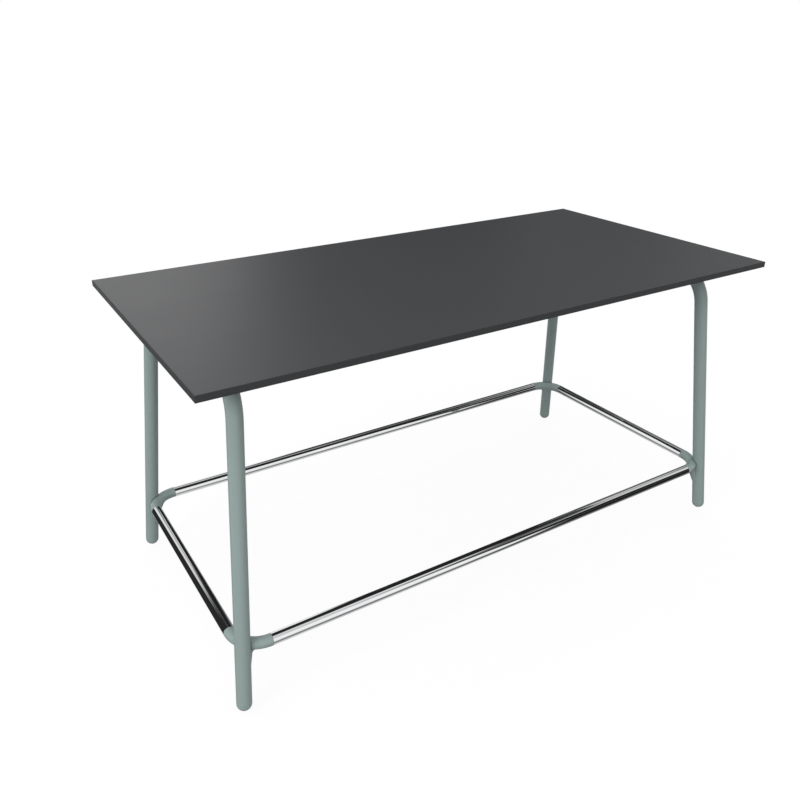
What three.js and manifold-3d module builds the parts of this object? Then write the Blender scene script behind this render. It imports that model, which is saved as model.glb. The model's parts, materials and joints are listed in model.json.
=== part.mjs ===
// A standing meeting table: a thin dark top on two splayed frames of bent tube, with a chrome foot
// ring that joins the four legs low down. Millimetres, +Z up. The origin is on the floor under the
// middle of the top, +X runs along the length and +Y towards the back.

import * as THREE from 'three';
import { mergeVertices } from 'three/addons/utils/BufferGeometryUtils.js';
import Module from 'manifold-3d';

// Overall sizes
const TOP_LENGTH = 1800;
const TOP_WIDTH = 900;
const TABLE_HEIGHT = 904;

// Table top: a board with a laminate on both faces and a band on each edge
const CORE_THICKNESS = 15;
const LAMINATE_THICKNESS = 0.7;
const EDGE_BAND_THICKNESS = 2;
const GLUE_LINE = 0.1;

// Leg frames: one tube each, bent to an upside-down U across the width of the table
const LEG_DIAMETER = 40;
const LEG_WALL = 2;
const LEG_LEAN_DEG = 6; // outwards along the length
const LEG_SPLAY_DEG = 6; // outwards across the width
const LEG_BEND_RADIUS = 110;
const FOOT_INSET_FROM_END = 37;
const FOOT_INSET_FROM_SIDE = 40;

// Saddle plates: welded on the cross tubes and screwed to the board
const PLATE_THICKNESS = 5;
const PLATE_LENGTH = 70;
const PLATE_WING = 22;
const PLATE_BEND_SPACE = 10;
const CRADLE_DEPTH = 10;
const CRADLE_LIP = 4;

// Stiffeners: steel channels under the board, between the leg frames
const STIFFENER_WIDTH = 40;
const STIFFENER_DEPTH = 20;
const STIFFENER_WALL = 2.5;
const STIFFENER_OFFSET = 200;
const STIFFENER_END_SPACE = 15;
const STIFFENER_SCREW_INSET = 60;

// Wood screws
const SCREW_DIAMETER = 5;
const SCREW_HEAD_DIAMETER = 10;
const SCREW_HEAD_HEIGHT = 3.5;
const SCREW_TIP_LENGTH = 4;
const SCREW_TIP_COVER = 4; // board left above a screw's tip

// Feet: a dome on a threaded stud in a plug, so that the table can be levelled
const FOOT_FLAT_DIAMETER = 12;
const STUD_DIAMETER = 10;
const STUD_SEAT_DEPTH = 10;
const STUD_REACH = 28;
const STUD_CHAMFER = 1;
const PLUG_LENGTH = 32;

// Foot ring: chrome rails on the spigots of four painted bends
const RING_HEIGHT = 175;
const RING_DIAMETER = 32;
const RING_WALL = 1.5;
const RING_BEND_RADIUS = 78;
const RING_SHOULDER_RUN = 2; // straight run from the bend to the rail
const RING_NOTCH_DEPTH = 11; // how far a bend is let into its leg
const SPIGOT_LENGTH = 35;
const SPIGOT_WALL = 2.5;

// Brackets: round stubs that slant out of the legs and carry the ring's bends
const BRACKET_DIAMETER = 32;
const BRACKET_REACH = 19; // past the leg's face, right under the bend
const BRACKET_TOE_REACH = 0.8; // past the leg's face, at the lower end
const BRACKET_DROP = 57; // from the bend to the lower end
const BRACKET_FILLET = 7; // along the bend

// Clearances
const SEAT_GAP = 0.1; // between flat faces that are screwed together
const WELD_GAP = 0.3; // between pieces that are cut to each other's shape
const FIT_GAP = 0.3; // round a screw, stud, plug or spigot

// Facets
const LEG_SIDES = 20;
const RING_SIDES = 16;
const STUD_SIDES = 12;
const SCREW_SIDES = 8;
const LEG_BEND_STEPS = 6;
const RING_BEND_STEPS = 6;
const DOME_STEPS = 6;
const CRADLE_STEPS = 8;
const FILLET_STEPS = 3;
const BRACKET_SIDES = 18;

// Worked out from the driving sizes
const lean = THREE.MathUtils.degToRad(LEG_LEAN_DEG);
const splay = THREE.MathUtils.degToRad(LEG_SPLAY_DEG);
const legRadius = LEG_DIAMETER / 2;
const ringRadius = RING_DIAMETER / 2;
const bracketRadius = BRACKET_DIAMETER / 2;
const laminateStep = LAMINATE_THICKNESS + GLUE_LINE;
const topThickness = CORE_THICKNESS + 2 * laminateStep;
const underside = TABLE_HEIGHT - topThickness;
const edgeStep = EDGE_BAND_THICKNESS + GLUE_LINE;
const boardLength = TOP_LENGTH - 2 * edgeStep;
const boardWidth = TOP_WIDTH - 2 * edgeStep;

// The domes are cut flat where they stand, so their centres lie a little lower than their radius
const footCentre = new THREE.Vector3(
  TOP_LENGTH / 2 - FOOT_INSET_FROM_END,
  TOP_WIDTH / 2 - FOOT_INSET_FROM_SIDE,
  Math.sqrt(legRadius ** 2 - (FOOT_FLAT_DIAMETER / 2) ** 2),
);
const legUp = new THREE.Vector3(-Math.tan(lean), -Math.tan(splay), 1).normalize();

const crossHeight = underside - SEAT_GAP - PLATE_THICKNESS - WELD_GAP - legRadius;
const crossX = footCentre.x - (crossHeight - footCentre.z) * Math.tan(lean);
const cradleRadius = legRadius + WELD_GAP;
const cradleHalf = cradleRadius + CRADLE_LIP;
const plateHalf = cradleHalf + PLATE_WING;
const plateScrewOffset = cradleHalf + PLATE_WING / 2;
const crossCornerY = footCentre.y - (crossHeight - footCentre.z) * Math.tan(splay);
const splayInFrame = Math.atan(Math.tan(splay) * Math.cos(lean));
const crossEndY = crossCornerY - LEG_BEND_RADIUS * Math.tan((Math.PI / 2 - splayInFrame) / 2);
const plateY = crossEndY - PLATE_BEND_SPACE - PLATE_LENGTH / 2;

const ringDistance = legRadius + ringRadius - RING_NOTCH_DEPTH;
const ringOutset = RING_BEND_RADIUS * (1 - Math.SQRT1_2) - ringDistance * Math.SQRT1_2;
const legAtRing = footCentre.clone().addScaledVector(legUp, (RING_HEIGHT - footCentre.z) / legUp.z);
const ringX = legAtRing.x + ringOutset;
const ringY = legAtRing.y + ringOutset;
const ringShoulder = RING_BEND_RADIUS + RING_SHOULDER_RUN;
const spigotRadius = ringRadius - RING_WALL - FIT_GAP;

const CORNERS = [
  { name: 'front_left', sx: -1, sy: -1 },
  { name: 'front_right', sx: 1, sy: -1 },
  { name: 'back_left', sx: -1, sy: 1 },
  { name: 'back_right', sx: 1, sy: 1 },
];

const X_AXIS = new THREE.Vector3(1, 0, 0);
const Z_AXIS = new THREE.Vector3(0, 0, 1);

const wasm = await Module();
wasm.setup();

// Finishes

function finish(color, roughness, metalness) {
  return () => new THREE.MeshStandardMaterial({ color, roughness, metalness });
}

const sagePaint = finish(0x92a29e, 0.45, 0.1);
const sagePlastic = finish(0x8f9f9b, 0.5, 0);
const darkLaminate = finish(0x3d3e40, 0.55, 0);
const darkEdge = finish(0x323335, 0.5, 0);
const boardFibre = finish(0x8a6b4a, 0.9, 0);
const chrome = finish(0xd9dbdd, 0.06, 1);
const zincSteel = finish(0xb4b7b8, 0.35, 0.9);
const blackPaint = finish(0x27282a, 0.5, 0.2);
const blackPlastic = finish(0x1e1f20, 0.6, 0);

// Geometry helpers

// Six times the volume that the faces enclose, negative where they point inwards
function signedVolume(geometry) {
  const points = geometry.getAttribute('position');
  const corners = [0, 1, 2].map(() => new THREE.Vector3());
  let sum = 0;
  for (let i = 0; i < geometry.index.count; i += 3) {
    corners.forEach((corner, k) => corner.fromBufferAttribute(points, geometry.index.getX(i + k)));
    sum += corners[0].dot(corners[1].cross(corners[2]));
  }
  return sum;
}

// Merges shared corners, drops empty triangles and points the faces outwards
function closed(geometry) {
  geometry.deleteAttribute('normal');
  geometry.deleteAttribute('uv');
  const merged = mergeVertices(geometry);
  const faces = [];
  for (let i = 0; i < merged.index.count; i += 3) {
    const face = [0, 1, 2].map((k) => merged.index.getX(i + k));
    if (new Set(face).size === 3) {
      faces.push(face);
    }
  }
  merged.setIndex(faces.flat());
  if (signedVolume(merged) < 0) {
    merged.setIndex(faces.flatMap(([a, b, c]) => [a, c, b]));
  }
  return merged;
}

function toSolid(geometry) {
  const clean = closed(geometry);
  const vertProperties = new Float32Array(clean.getAttribute('position').array);
  const triVerts = new Uint32Array(clean.index.array);
  return new wasm.Manifold(new wasm.Mesh({ numProp: 3, vertProperties, triVerts }));
}

// Cuts every tool from a body
function cut(body, tools) {
  let solid = toSolid(body);
  for (const tool of tools) {
    solid = solid.subtract(toSolid(tool));
  }
  const mesh = solid.getMesh();
  const geometry = new THREE.BufferGeometry();
  geometry.setAttribute('position', new THREE.Float32BufferAttribute(mesh.vertProperties, 3));
  geometry.setIndex([...mesh.triVerts]);
  return geometry;
}

// A box centred on X and Y that stands on z = 0
function slab(length, width, height) {
  return new THREE.BoxGeometry(length, width, height).translate(0, 0, height / 2);
}

// Revolves [radius, height] points round Z
function revolve(profile, sides) {
  const points = profile.map(([radius, height]) => new THREE.Vector2(radius, height));
  return closed(new THREE.LatheGeometry(points, sides).rotateX(Math.PI / 2));
}

// A round bar along Z from one height to another
function bar(radius, from, to, sides) {
  return revolve([[0, from], [radius, from], [radius, to], [0, to]], sides);
}

// A flat path through corner points, with each inner corner rounded by an arc
function roundedPath(corners, radius, steps) {
  const runs = corners.slice(1).map((corner, i) => corner.clone().sub(corners[i]).normalize());
  const path = [{ point: corners[0], tangent: runs[0] }];
  for (let i = 1; i < corners.length - 1; i += 1) {
    const turn = runs[i - 1].angleTo(runs[i]);
    const axis = runs[i - 1].clone().cross(runs[i]).normalize();
    const inward = runs[i].clone().sub(runs[i - 1]).normalize();
    const centre = corners[i].clone().addScaledVector(inward, radius / Math.cos(turn / 2));
    const spoke = corners[i].clone().addScaledVector(runs[i - 1], -radius * Math.tan(turn / 2)).sub(centre);
    for (let k = 0; k <= steps; k += 1) {
      const angle = (turn * k) / steps;
      path.push({
        point: spoke.clone().applyAxisAngle(axis, angle).add(centre),
        tangent: runs[i - 1].clone().applyAxisAngle(axis, angle),
      });
    }
  }
  path.push({ point: corners.at(-1), tangent: runs.at(-1) });
  return path;
}

// A round tube along a flat path. Each station has its own outer radius, and a bore of 0 makes a rod.
// The rows of points go out along the skin and back along the bore, so they close on themselves.
function tubeAlong(stations, planeNormal, bore, sides) {
  const rows = stations.map((station) => [station, station.outer]);
  rows.push(...stations.map((station) => [station, bore]).reverse());
  const positions = [];
  for (const [{ point, tangent }, radius] of rows) {
    const across = planeNormal.clone().cross(tangent);
    for (let k = 0; k < sides; k += 1) {
      const angle = (2 * Math.PI * k) / sides;
      const spot = point.clone().addScaledVector(across, radius * Math.cos(angle));
      positions.push(...spot.addScaledVector(planeNormal, radius * Math.sin(angle)).toArray());
    }
  }
  const index = [];
  for (let row = 0; row < rows.length; row += 1) {
    const here = row * sides;
    const next = ((row + 1) % rows.length) * sides;
    for (let k = 0; k < sides; k += 1) {
      const turn = (k + 1) % sides;
      index.push(here + k, here + turn, next + turn, here + k, next + turn, next + k);
    }
  }
  const geometry = new THREE.BufferGeometry();
  geometry.setAttribute('position', new THREE.Float32BufferAttribute(positions, 3));
  geometry.setIndex(index);
  return closed(geometry);
}

// A closed body through rows of points, with a flat face over the first row and the last
function loft(rows) {
  const count = rows[0].length;
  const positions = rows.flat().flatMap((point) => point.toArray());
  const index = [];
  for (let k = 0; k < count; k += 1) {
    const turn = (k + 1) % count;
    for (let here = 0; here < (rows.length - 1) * count; here += count) {
      const next = here + count;
      index.push(here + k, here + turn, next + turn, here + k, next + turn, next + k);
    }
  }
  const last = (rows.length - 1) * count;
  for (let k = 1; k < count - 1; k += 1) {
    index.push(0, k + 1, k, last, last + k, last + k + 1);
  }
  const geometry = new THREE.BufferGeometry();
  geometry.setAttribute('position', new THREE.Float32BufferAttribute(positions, 3));
  geometry.setIndex(index);
  return closed(geometry);
}

function withOuter(path, outer) {
  return path.map((station) => ({ ...station, outer }));
}

// Scene helpers

const table = new THREE.Group();

function groupAt(parent, x, y, z) {
  const group = new THREE.Group();
  group.position.set(x, y, z);
  parent.add(group);
  return group;
}

function piece(parent, name, geometry, material) {
  const mesh = new THREE.Mesh(geometry, material());
  mesh.name = name;
  parent.add(mesh);
  return mesh;
}

// Screws: where they stand, how much metal they hold, and their shape

const stiffenerHalf = crossX - plateHalf - STIFFENER_END_SPACE;
const screwBite = laminateStep + CORE_THICKNESS - SCREW_TIP_COVER;
const screwHoleRadius = SCREW_DIAMETER / 2 + FIT_GAP;

const PLATE_SCREWS = CORNERS.flatMap(({ name, sx, sy }) => [
  { name: `plate_screw_${name}_outer`, x: sx * (crossX + plateScrewOffset), y: sy * plateY },
  { name: `plate_screw_${name}_inner`, x: sx * (crossX - plateScrewOffset), y: sy * plateY },
]);

const STIFFENER_SCREWS = [['front', -1], ['back', 1]].flatMap(([side, sy]) => (
  [['left', -1], ['middle', 0], ['right', 1]].map(([place, sx]) => ({
    name: `stiffener_screw_${side}_${place}`,
    x: sx * (stiffenerHalf - STIFFENER_SCREW_INSET),
    y: sy * STIFFENER_OFFSET,
  }))
));

// A pan head below z = 0 and a pointed shank above it
function screwShape(grip) {
  const head = SCREW_HEAD_DIAMETER / 2;
  const shank = SCREW_DIAMETER / 2;
  const tip = SEAT_GAP + grip + SEAT_GAP + screwBite;
  const crown = SCREW_HEAD_HEIGHT / 2;
  return revolve([
    [0, -SCREW_HEAD_HEIGHT],
    [head - crown, -SCREW_HEAD_HEIGHT],
    [head, -crown],
    [head, 0],
    [shank, 0],
    [shank, tip - SCREW_TIP_LENGTH],
    [0, tip],
  ], SCREW_SIDES);
}

// Through holes or blind holes for the screws, in a piece whose lower face is at z = 0
function screwHoles(spots, depth) {
  return spots.map(({ x, y }) => (
    bar(screwHoleRadius, -depth, depth, SCREW_SIDES).translate(x, y, 0)
  ));
}

function addScrews(spots, grip) {
  const seat = underside - SEAT_GAP - grip - SEAT_GAP;
  for (const { name, x, y } of spots) {
    piece(groupAt(table, x, y, seat), name, screwShape(grip), zincSteel);
  }
}

// Table top

function addTop() {
  const top = groupAt(table, 0, 0, underside);
  const spots = [...PLATE_SCREWS, ...STIFFENER_SCREWS];
  const sheet = slab(boardLength, boardWidth, LAMINATE_THICKNESS);
  const core = slab(boardLength, boardWidth, CORE_THICKNESS);
  const lower = cut(sheet.clone(), screwHoles(spots, 2 * LAMINATE_THICKNESS));
  const pilot = screwBite - laminateStep + FIT_GAP;
  piece(top, 'underside_laminate', lower, darkLaminate);
  piece(groupAt(top, 0, 0, laminateStep), 'tabletop_core', cut(core, screwHoles(spots, pilot)), boardFibre);
  const upper = groupAt(top, 0, 0, topThickness - LAMINATE_THICKNESS);
  piece(upper, 'top_laminate', closed(sheet), darkLaminate);
  const bandX = (TOP_LENGTH - EDGE_BAND_THICKNESS) / 2;
  const bandY = (TOP_WIDTH - EDGE_BAND_THICKNESS) / 2;
  for (const [side, sign] of [['left', -1], ['right', 1]]) {
    const band = closed(slab(EDGE_BAND_THICKNESS, boardWidth, topThickness));
    piece(groupAt(top, sign * bandX, 0, 0), `edge_band_${side}`, band, darkEdge);
  }
  for (const [side, sign] of [['front', -1], ['back', 1]]) {
    const band = closed(slab(TOP_LENGTH, EDGE_BAND_THICKNESS, topThickness));
    piece(groupAt(top, 0, sign * bandY, 0), `edge_band_${side}`, band, darkEdge);
  }
}

// Leg frames

// The bent tube lies in its own YZ plane, which stands on the floor and leans with the group
function legFrameShape() {
  const up = new THREE.Vector3(0, legUp.y, Math.hypot(legUp.x, legUp.z));
  const foot = new THREE.Vector3(0, footCentre.y, footCentre.z / Math.cos(lean));
  const end = foot.clone().addScaledVector(up, FIT_GAP);
  const bend = foot.clone().addScaledVector(up, (crossHeight / Math.cos(lean) - foot.z) / up.z);
  const mirrored = (point) => new THREE.Vector3(0, -point.y, point.z);
  const path = roundedPath([end, bend, mirrored(bend), mirrored(end)], LEG_BEND_RADIUS, LEG_BEND_STEPS);
  return tubeAlong(withOuter(path, legRadius), X_AXIS, legRadius - LEG_WALL, LEG_SIDES);
}

// A plate with a cradle that fits over the cross tube, which runs along Y through the origin
function saddlePlateShape() {
  const plateTop = cradleRadius + PLATE_THICKNESS;
  const lip = cradleRadius - CRADLE_DEPTH;
  const lipAngle = Math.asin(lip / cradleRadius);
  const outline = new THREE.Shape();
  outline.moveTo(-plateHalf, plateTop);
  outline.lineTo(-plateHalf, cradleRadius);
  outline.lineTo(-cradleHalf, cradleRadius);
  outline.lineTo(-cradleHalf, lip);
  outline.absarc(0, 0, cradleRadius, Math.PI - lipAngle, lipAngle, true);
  outline.lineTo(cradleHalf, lip);
  outline.lineTo(cradleHalf, cradleRadius);
  outline.lineTo(plateHalf, cradleRadius);
  outline.lineTo(plateHalf, plateTop);
  const options = { depth: PLATE_LENGTH, bevelEnabled: false, curveSegments: CRADLE_STEPS };
  const plate = new THREE.ExtrudeGeometry(outline, options).rotateX(Math.PI / 2);
  plate.translate(0, PLATE_LENGTH / 2, 0);
  const drill = bar(screwHoleRadius, 0, 2 * plateTop, SCREW_SIDES);
  const holes = [-plateScrewOffset, plateScrewOffset].map((x) => drill.clone().translate(x, 0, 0));
  return cut(plate, holes);
}

function addLegFrames() {
  const floorX = footCentre.x + footCentre.z * Math.tan(lean);
  for (const [side, sign] of [['left', -1], ['right', 1]]) {
    const leaning = groupAt(table, sign * floorX, 0, 0);
    leaning.rotation.y = -sign * lean;
    piece(leaning, `leg_frame_${side}`, legFrameShape(), sagePaint);
  }
  for (const { name, sx, sy } of CORNERS) {
    const seat = groupAt(table, sx * crossX, sy * plateY, crossHeight);
    piece(seat, `saddle_plate_${name}`, saddlePlateShape(), sagePaint);
  }
}

// Stiffeners: the channel's back lies against the board and its sides point down

function stiffenerShape() {
  const half = STIFFENER_WIDTH / 2;
  const inner = half - STIFFENER_WALL;
  const outline = new THREE.Shape();
  outline.moveTo(-half, 0);
  outline.lineTo(-half, -STIFFENER_DEPTH);
  outline.lineTo(-inner, -STIFFENER_DEPTH);
  outline.lineTo(-inner, -STIFFENER_WALL);
  outline.lineTo(inner, -STIFFENER_WALL);
  outline.lineTo(inner, -STIFFENER_DEPTH);
  outline.lineTo(half, -STIFFENER_DEPTH);
  outline.lineTo(half, 0);
  const options = { depth: 2 * stiffenerHalf, bevelEnabled: false };
  const channel = new THREE.ExtrudeGeometry(outline, options).translate(0, 0, -stiffenerHalf);
  channel.rotateX(Math.PI / 2).rotateZ(Math.PI / 2);
  const spots = STIFFENER_SCREWS.slice(0, STIFFENER_SCREWS.length / 2).map(({ x }) => ({ x, y: 0 }));
  return cut(channel, screwHoles(spots, 2 * STIFFENER_WALL));
}

function addStiffeners() {
  for (const [side, sign] of [['front', -1], ['back', 1]]) {
    const seat = groupAt(table, 0, sign * STIFFENER_OFFSET, underside - SEAT_GAP);
    piece(seat, `stiffener_${side}`, stiffenerShape(), blackPaint);
  }
}

// Feet: everything is revolved round the leg's axis, with the dome's centre as the origin

function domeShape(turn) {
  const hole = STUD_DIAMETER / 2 + FIT_GAP;
  const profile = [[0, -STUD_SEAT_DEPTH], [hole, -STUD_SEAT_DEPTH], [hole, 0], [legRadius, 0]];
  for (let k = 1; k <= DOME_STEPS; k += 1) {
    const angle = (Math.PI / 2) * (k / DOME_STEPS);
    profile.push([k < DOME_STEPS ? legRadius * Math.cos(angle) : 0, -legRadius * Math.sin(angle)]);
  }
  const dome = revolve(profile, LEG_SIDES).applyQuaternion(turn);
  const floor = slab(LEG_DIAMETER, LEG_DIAMETER, LEG_DIAMETER).translate(0, 0, -LEG_DIAMETER - footCentre.z);
  return cut(dome, [floor]);
}

function studShape() {
  const radius = STUD_DIAMETER / 2;
  const end = -STUD_SEAT_DEPTH + FIT_GAP;
  return revolve([
    [0, end],
    [radius, end],
    [radius, STUD_REACH - STUD_CHAMFER],
    [radius - STUD_CHAMFER, STUD_REACH],
    [0, STUD_REACH],
  ], STUD_SIDES);
}

function plugShape() {
  const outer = legRadius - LEG_WALL - FIT_GAP;
  const bore = STUD_DIAMETER / 2 + FIT_GAP;
  const end = FIT_GAP + PLUG_LENGTH;
  return revolve([[bore, FIT_GAP], [outer, FIT_GAP], [outer, end], [bore, end], [bore, FIT_GAP]], STUD_SIDES);
}

function addFeet() {
  for (const { name, sx, sy } of CORNERS) {
    const up = new THREE.Vector3(sx * legUp.x, sy * legUp.y, legUp.z);
    const turn = new THREE.Quaternion().setFromUnitVectors(Z_AXIS, up);
    const foot = groupAt(table, sx * footCentre.x, sy * footCentre.y, footCentre.z);
    piece(foot, `foot_dome_${name}`, domeShape(turn), sagePlastic);
    const axis = groupAt(foot, 0, 0, 0);
    axis.quaternion.copy(turn);
    piece(axis, `levelling_stud_${name}`, studShape(), zincSteel);
    piece(axis, `leg_plug_${name}`, plugShape(), blackPlastic);
  }
}

// Foot ring, worked out round the ring's own height

// The leg as a rod with the weld gap round it, through the ring's level
function legTool({ sx, sy }) {
  const up = new THREE.Vector3(sx * legUp.x, sy * legUp.y, legUp.z);
  const turn = new THREE.Quaternion().setFromUnitVectors(Z_AXIS, up);
  const reach = RING_DIAMETER + 2 * BRACKET_DROP;
  const rod = bar(legRadius + WELD_GAP, -reach, reach, LEG_SIDES).applyQuaternion(turn);
  return rod.translate(sx * legAtRing.x, sy * legAtRing.y, 0);
}

function bendPath({ sx, sy }) {
  const shoulders = [
    new THREE.Vector3(sx * (ringX - ringShoulder), sy * ringY, 0),
    new THREE.Vector3(sx * ringX, sy * ringY, 0),
    new THREE.Vector3(sx * ringX, sy * (ringY - ringShoulder), 0),
  ];
  return roundedPath(shoulders, RING_BEND_RADIUS, RING_BEND_STEPS);
}

// A bent tube whose ends are turned down to spigots, notched where it is welded to its leg
function ringCornerShape(corner) {
  const bend = withOuter(bendPath(corner), ringRadius);
  const ends = [[bend[0], -SPIGOT_LENGTH], [bend.at(-1), SPIGOT_LENGTH]].map(([shoulder, run]) => {
    const inner = { ...shoulder, outer: spigotRadius };
    return [inner, { ...inner, point: inner.point.clone().addScaledVector(inner.tangent, run) }];
  });
  const stations = [...ends[0].reverse(), ...bend, ...ends[1]];
  const tube = tubeAlong(stations, Z_AXIS, spigotRadius - SPIGOT_WALL, RING_SIDES);
  return cut(tube, [legTool(corner)]);
}

// One level of the bracket: a circle that reaches past the leg's face, drawn out by a flare. Out is away
// from the leg's axis towards the middle of the bend, and aside is along the bend.
function bracketLevel(corner, height, reach, flare) {
  const turn = Math.atan2(-corner.sy, -corner.sx);
  const legAxis = (height * Math.hypot(legUp.x, legUp.y)) / legUp.z;
  const middle = legAxis + legRadius + reach - bracketRadius;
  const level = [];
  for (let k = 0; k < BRACKET_SIDES; k += 1) {
    const angle = (2 * Math.PI * k) / BRACKET_SIDES;
    const out = middle + bracketRadius * Math.cos(angle);
    const aside = (bracketRadius + flare) * Math.sin(angle);
    const spot = new THREE.Vector3(out, aside, height).applyAxisAngle(Z_AXIS, turn);
    level.push(spot.add(new THREE.Vector3(corner.sx * legAtRing.x, corner.sy * legAtRing.y, 0)));
  }
  return level;
}

// A round stub that slants out of the leg to a filleted seat under the bend
function bracketShape(corner) {
  const levels = [];
  const addLevel = (height, share, flare) => {
    const reach = THREE.MathUtils.lerp(BRACKET_TOE_REACH, BRACKET_REACH, share);
    levels.push(bracketLevel(corner, height, reach, flare));
  };
  addLevel(-ringRadius - BRACKET_DROP, 0, 0);
  for (let k = 0; k <= FILLET_STEPS; k += 1) {
    const angle = (Math.PI / 2) * (k / FILLET_STEPS);
    const below = BRACKET_FILLET * (1 - Math.sin(angle));
    addLevel(-ringRadius - below, 1 - below / BRACKET_DROP, BRACKET_FILLET * (1 - Math.cos(angle)));
  }
  addLevel(-ringRadius / 2, 1, BRACKET_FILLET);
  const bendTool = tubeAlong(withOuter(bendPath(corner), ringRadius + WELD_GAP), Z_AXIS, 0, RING_SIDES);
  return cut(loft(levels), [legTool(corner), bendTool]);
}

function railShape(from, to) {
  const tangent = to.clone().sub(from).normalize();
  const ends = [{ point: from, tangent }, { point: to, tangent }];
  return tubeAlong(withOuter(ends, ringRadius), Z_AXIS, ringRadius - RING_WALL, RING_SIDES);
}

function addRing() {
  const ring = groupAt(table, 0, 0, RING_HEIGHT);
  for (const corner of CORNERS) {
    piece(ring, `ring_corner_${corner.name}`, ringCornerShape(corner), sagePaint);
    piece(ring, `ring_bracket_${corner.name}`, bracketShape(corner), sagePaint);
  }
  const halfX = ringX - ringShoulder - FIT_GAP;
  const halfY = ringY - ringShoulder - FIT_GAP;
  const lengthwise = railShape(new THREE.Vector3(-halfX, 0, 0), new THREE.Vector3(halfX, 0, 0));
  const crosswise = railShape(new THREE.Vector3(0, -halfY, 0), new THREE.Vector3(0, halfY, 0));
  piece(groupAt(ring, 0, -ringY, 0), 'ring_rail_front', lengthwise, chrome);
  piece(groupAt(ring, 0, ringY, 0), 'ring_rail_back', lengthwise, chrome);
  piece(groupAt(ring, -ringX, 0, 0), 'ring_rail_left', crosswise, chrome);
  piece(groupAt(ring, ringX, 0, 0), 'ring_rail_right', crosswise, chrome);
}

addTop();
addLegFrames();
addStiffeners();
addScrews(PLATE_SCREWS, PLATE_THICKNESS);
addScrews(STIFFENER_SCREWS, STIFFENER_WALL);
addFeet();
addRing();

export default table;
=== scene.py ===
# The looks of a standing meeting table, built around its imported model. Metres, +Z up: +X runs along the
# length, +Y towards the back. The origin lies under the middle of the top, where the feet stand at rest.

import json
import math

import bmesh
import bpy
from mathutils import Matrix, Vector


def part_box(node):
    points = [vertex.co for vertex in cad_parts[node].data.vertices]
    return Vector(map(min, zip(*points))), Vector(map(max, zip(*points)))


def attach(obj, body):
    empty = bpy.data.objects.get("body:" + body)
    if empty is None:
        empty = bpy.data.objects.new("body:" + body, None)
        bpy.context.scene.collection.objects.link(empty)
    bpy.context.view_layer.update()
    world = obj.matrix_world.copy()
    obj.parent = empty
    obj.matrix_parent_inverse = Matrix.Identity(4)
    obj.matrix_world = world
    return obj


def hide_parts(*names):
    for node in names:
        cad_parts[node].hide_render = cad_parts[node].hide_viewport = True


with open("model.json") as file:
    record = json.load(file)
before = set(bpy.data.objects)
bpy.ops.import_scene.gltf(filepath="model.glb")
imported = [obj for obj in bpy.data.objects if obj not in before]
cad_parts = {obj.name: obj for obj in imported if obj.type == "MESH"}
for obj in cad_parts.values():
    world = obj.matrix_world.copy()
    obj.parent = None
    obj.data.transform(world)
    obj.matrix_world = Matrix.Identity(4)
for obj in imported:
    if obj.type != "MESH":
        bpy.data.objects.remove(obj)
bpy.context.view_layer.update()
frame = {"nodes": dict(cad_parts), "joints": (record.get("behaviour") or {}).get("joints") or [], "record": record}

MM = 0.001
X_AXIS = Vector((1, 0, 0))
Y_AXIS = Vector((0, 1, 0))
Z_AXIS = Vector((0, 0, 1))

# Camera, fitted to the straight edges in the photograph
CAMERA_PLACE = (-1.27604, -1.81554, 1.55830)
CAMERA_TURN_DEG = -31.955
CAMERA_DIP_DEG = 26.002
CAMERA_LENS_MM = 34.6
CAMERA_SENSOR_MM = 36

# Leg frames
LEG_RADIUS = 20 * MM
LEG_WALL = 2 * MM
LEG_BEND_RADIUS = 110 * MM
TUBE_EDGE = 0.4 * MM

# Saddle plates
PLATE_THICKNESS = 5 * MM
PLATE_WING = 22 * MM
CRADLE_DEPTH = 10 * MM
CRADLE_LIP = 4 * MM
PLATE_EDGE = 0.7 * MM
PLATE_BEAD_RADIUS = 2.4 * MM
PLATE_BEAD_INSET = 8 * MM
PLATE_BEAD_OUT = 1 * MM
PLATE_BEAD_STEPS = 36

# Stiffeners
STIFFENER_WALL = 2.5 * MM
STIFFENER_BEND = 3.5 * MM
STIFFENER_EDGE = 0.5 * MM

# Wood screws
SCREW_RADIUS = 2.5 * MM
SCREW_CORE_RADIUS = 1.75 * MM
SCREW_PITCH = 2.2 * MM
SCREW_TIP = 4 * MM
SCREW_POINT = 0.04  # share of the radius at the very tip
SCREW_THREAD_START = 0.5 * SCREW_PITCH
SCREW_HEAD_RADIUS = 5 * MM
SCREW_HEAD_HEIGHT = 3.5 * MM
SCREW_HEAD_RIM = 1.2 * MM
SCREW_HEAD_FLAT = 2.2 * MM
SCREW_HEAD_ARC_DEG = 75
SCREW_HEAD_EDGE = 0.15 * MM
RECESS_REACH = 2.5 * MM
RECESS_WIDTH = 0.62 * MM
RECESS_DEPTH = 2.1 * MM
RECESS_PAST_HEAD = 0.2 * MM
RECESS_FLARE = 1.1  # size past the head, against the size at its face
RECESS_REACH_TAPER = 0.45
RECESS_WIDTH_TAPER = 0.7
SCREW_TURN_DEG = 137.5  # each screw's recess stops at another angle

# Threads
THREAD_FLANKS = (0.0, 0.25, 0.55, 0.70)  # root from and to, crest from and to, as shares of the pitch
THREAD_SPARE_TURNS = 2  # made past each end, then cut off

# Feet
FOOT_FLAT_RADIUS = 6 * MM
DOME_EDGE = 0.5 * MM
SOCKET_DEPTH = 10 * MM
STUD_RADIUS = 5 * MM
STUD_ROOT_RADIUS = 4.15 * MM
STUD_PITCH = 1.5 * MM
STUD_REACH = 28 * MM
STUD_CHAMFER = 1 * MM
PLUG_LENGTH = 32 * MM
PLUG_RIB = 0.8 * MM
PLUG_RIB_COUNT = 6
PLUG_GROOVE = 1.2 * MM
PLUG_LEAD_IN = 0.8 * MM
PLUG_COLLAR = 3.2 * MM  # plain part below the ribs
PLUG_TAIL = 1.6 * MM  # taper above them

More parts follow.
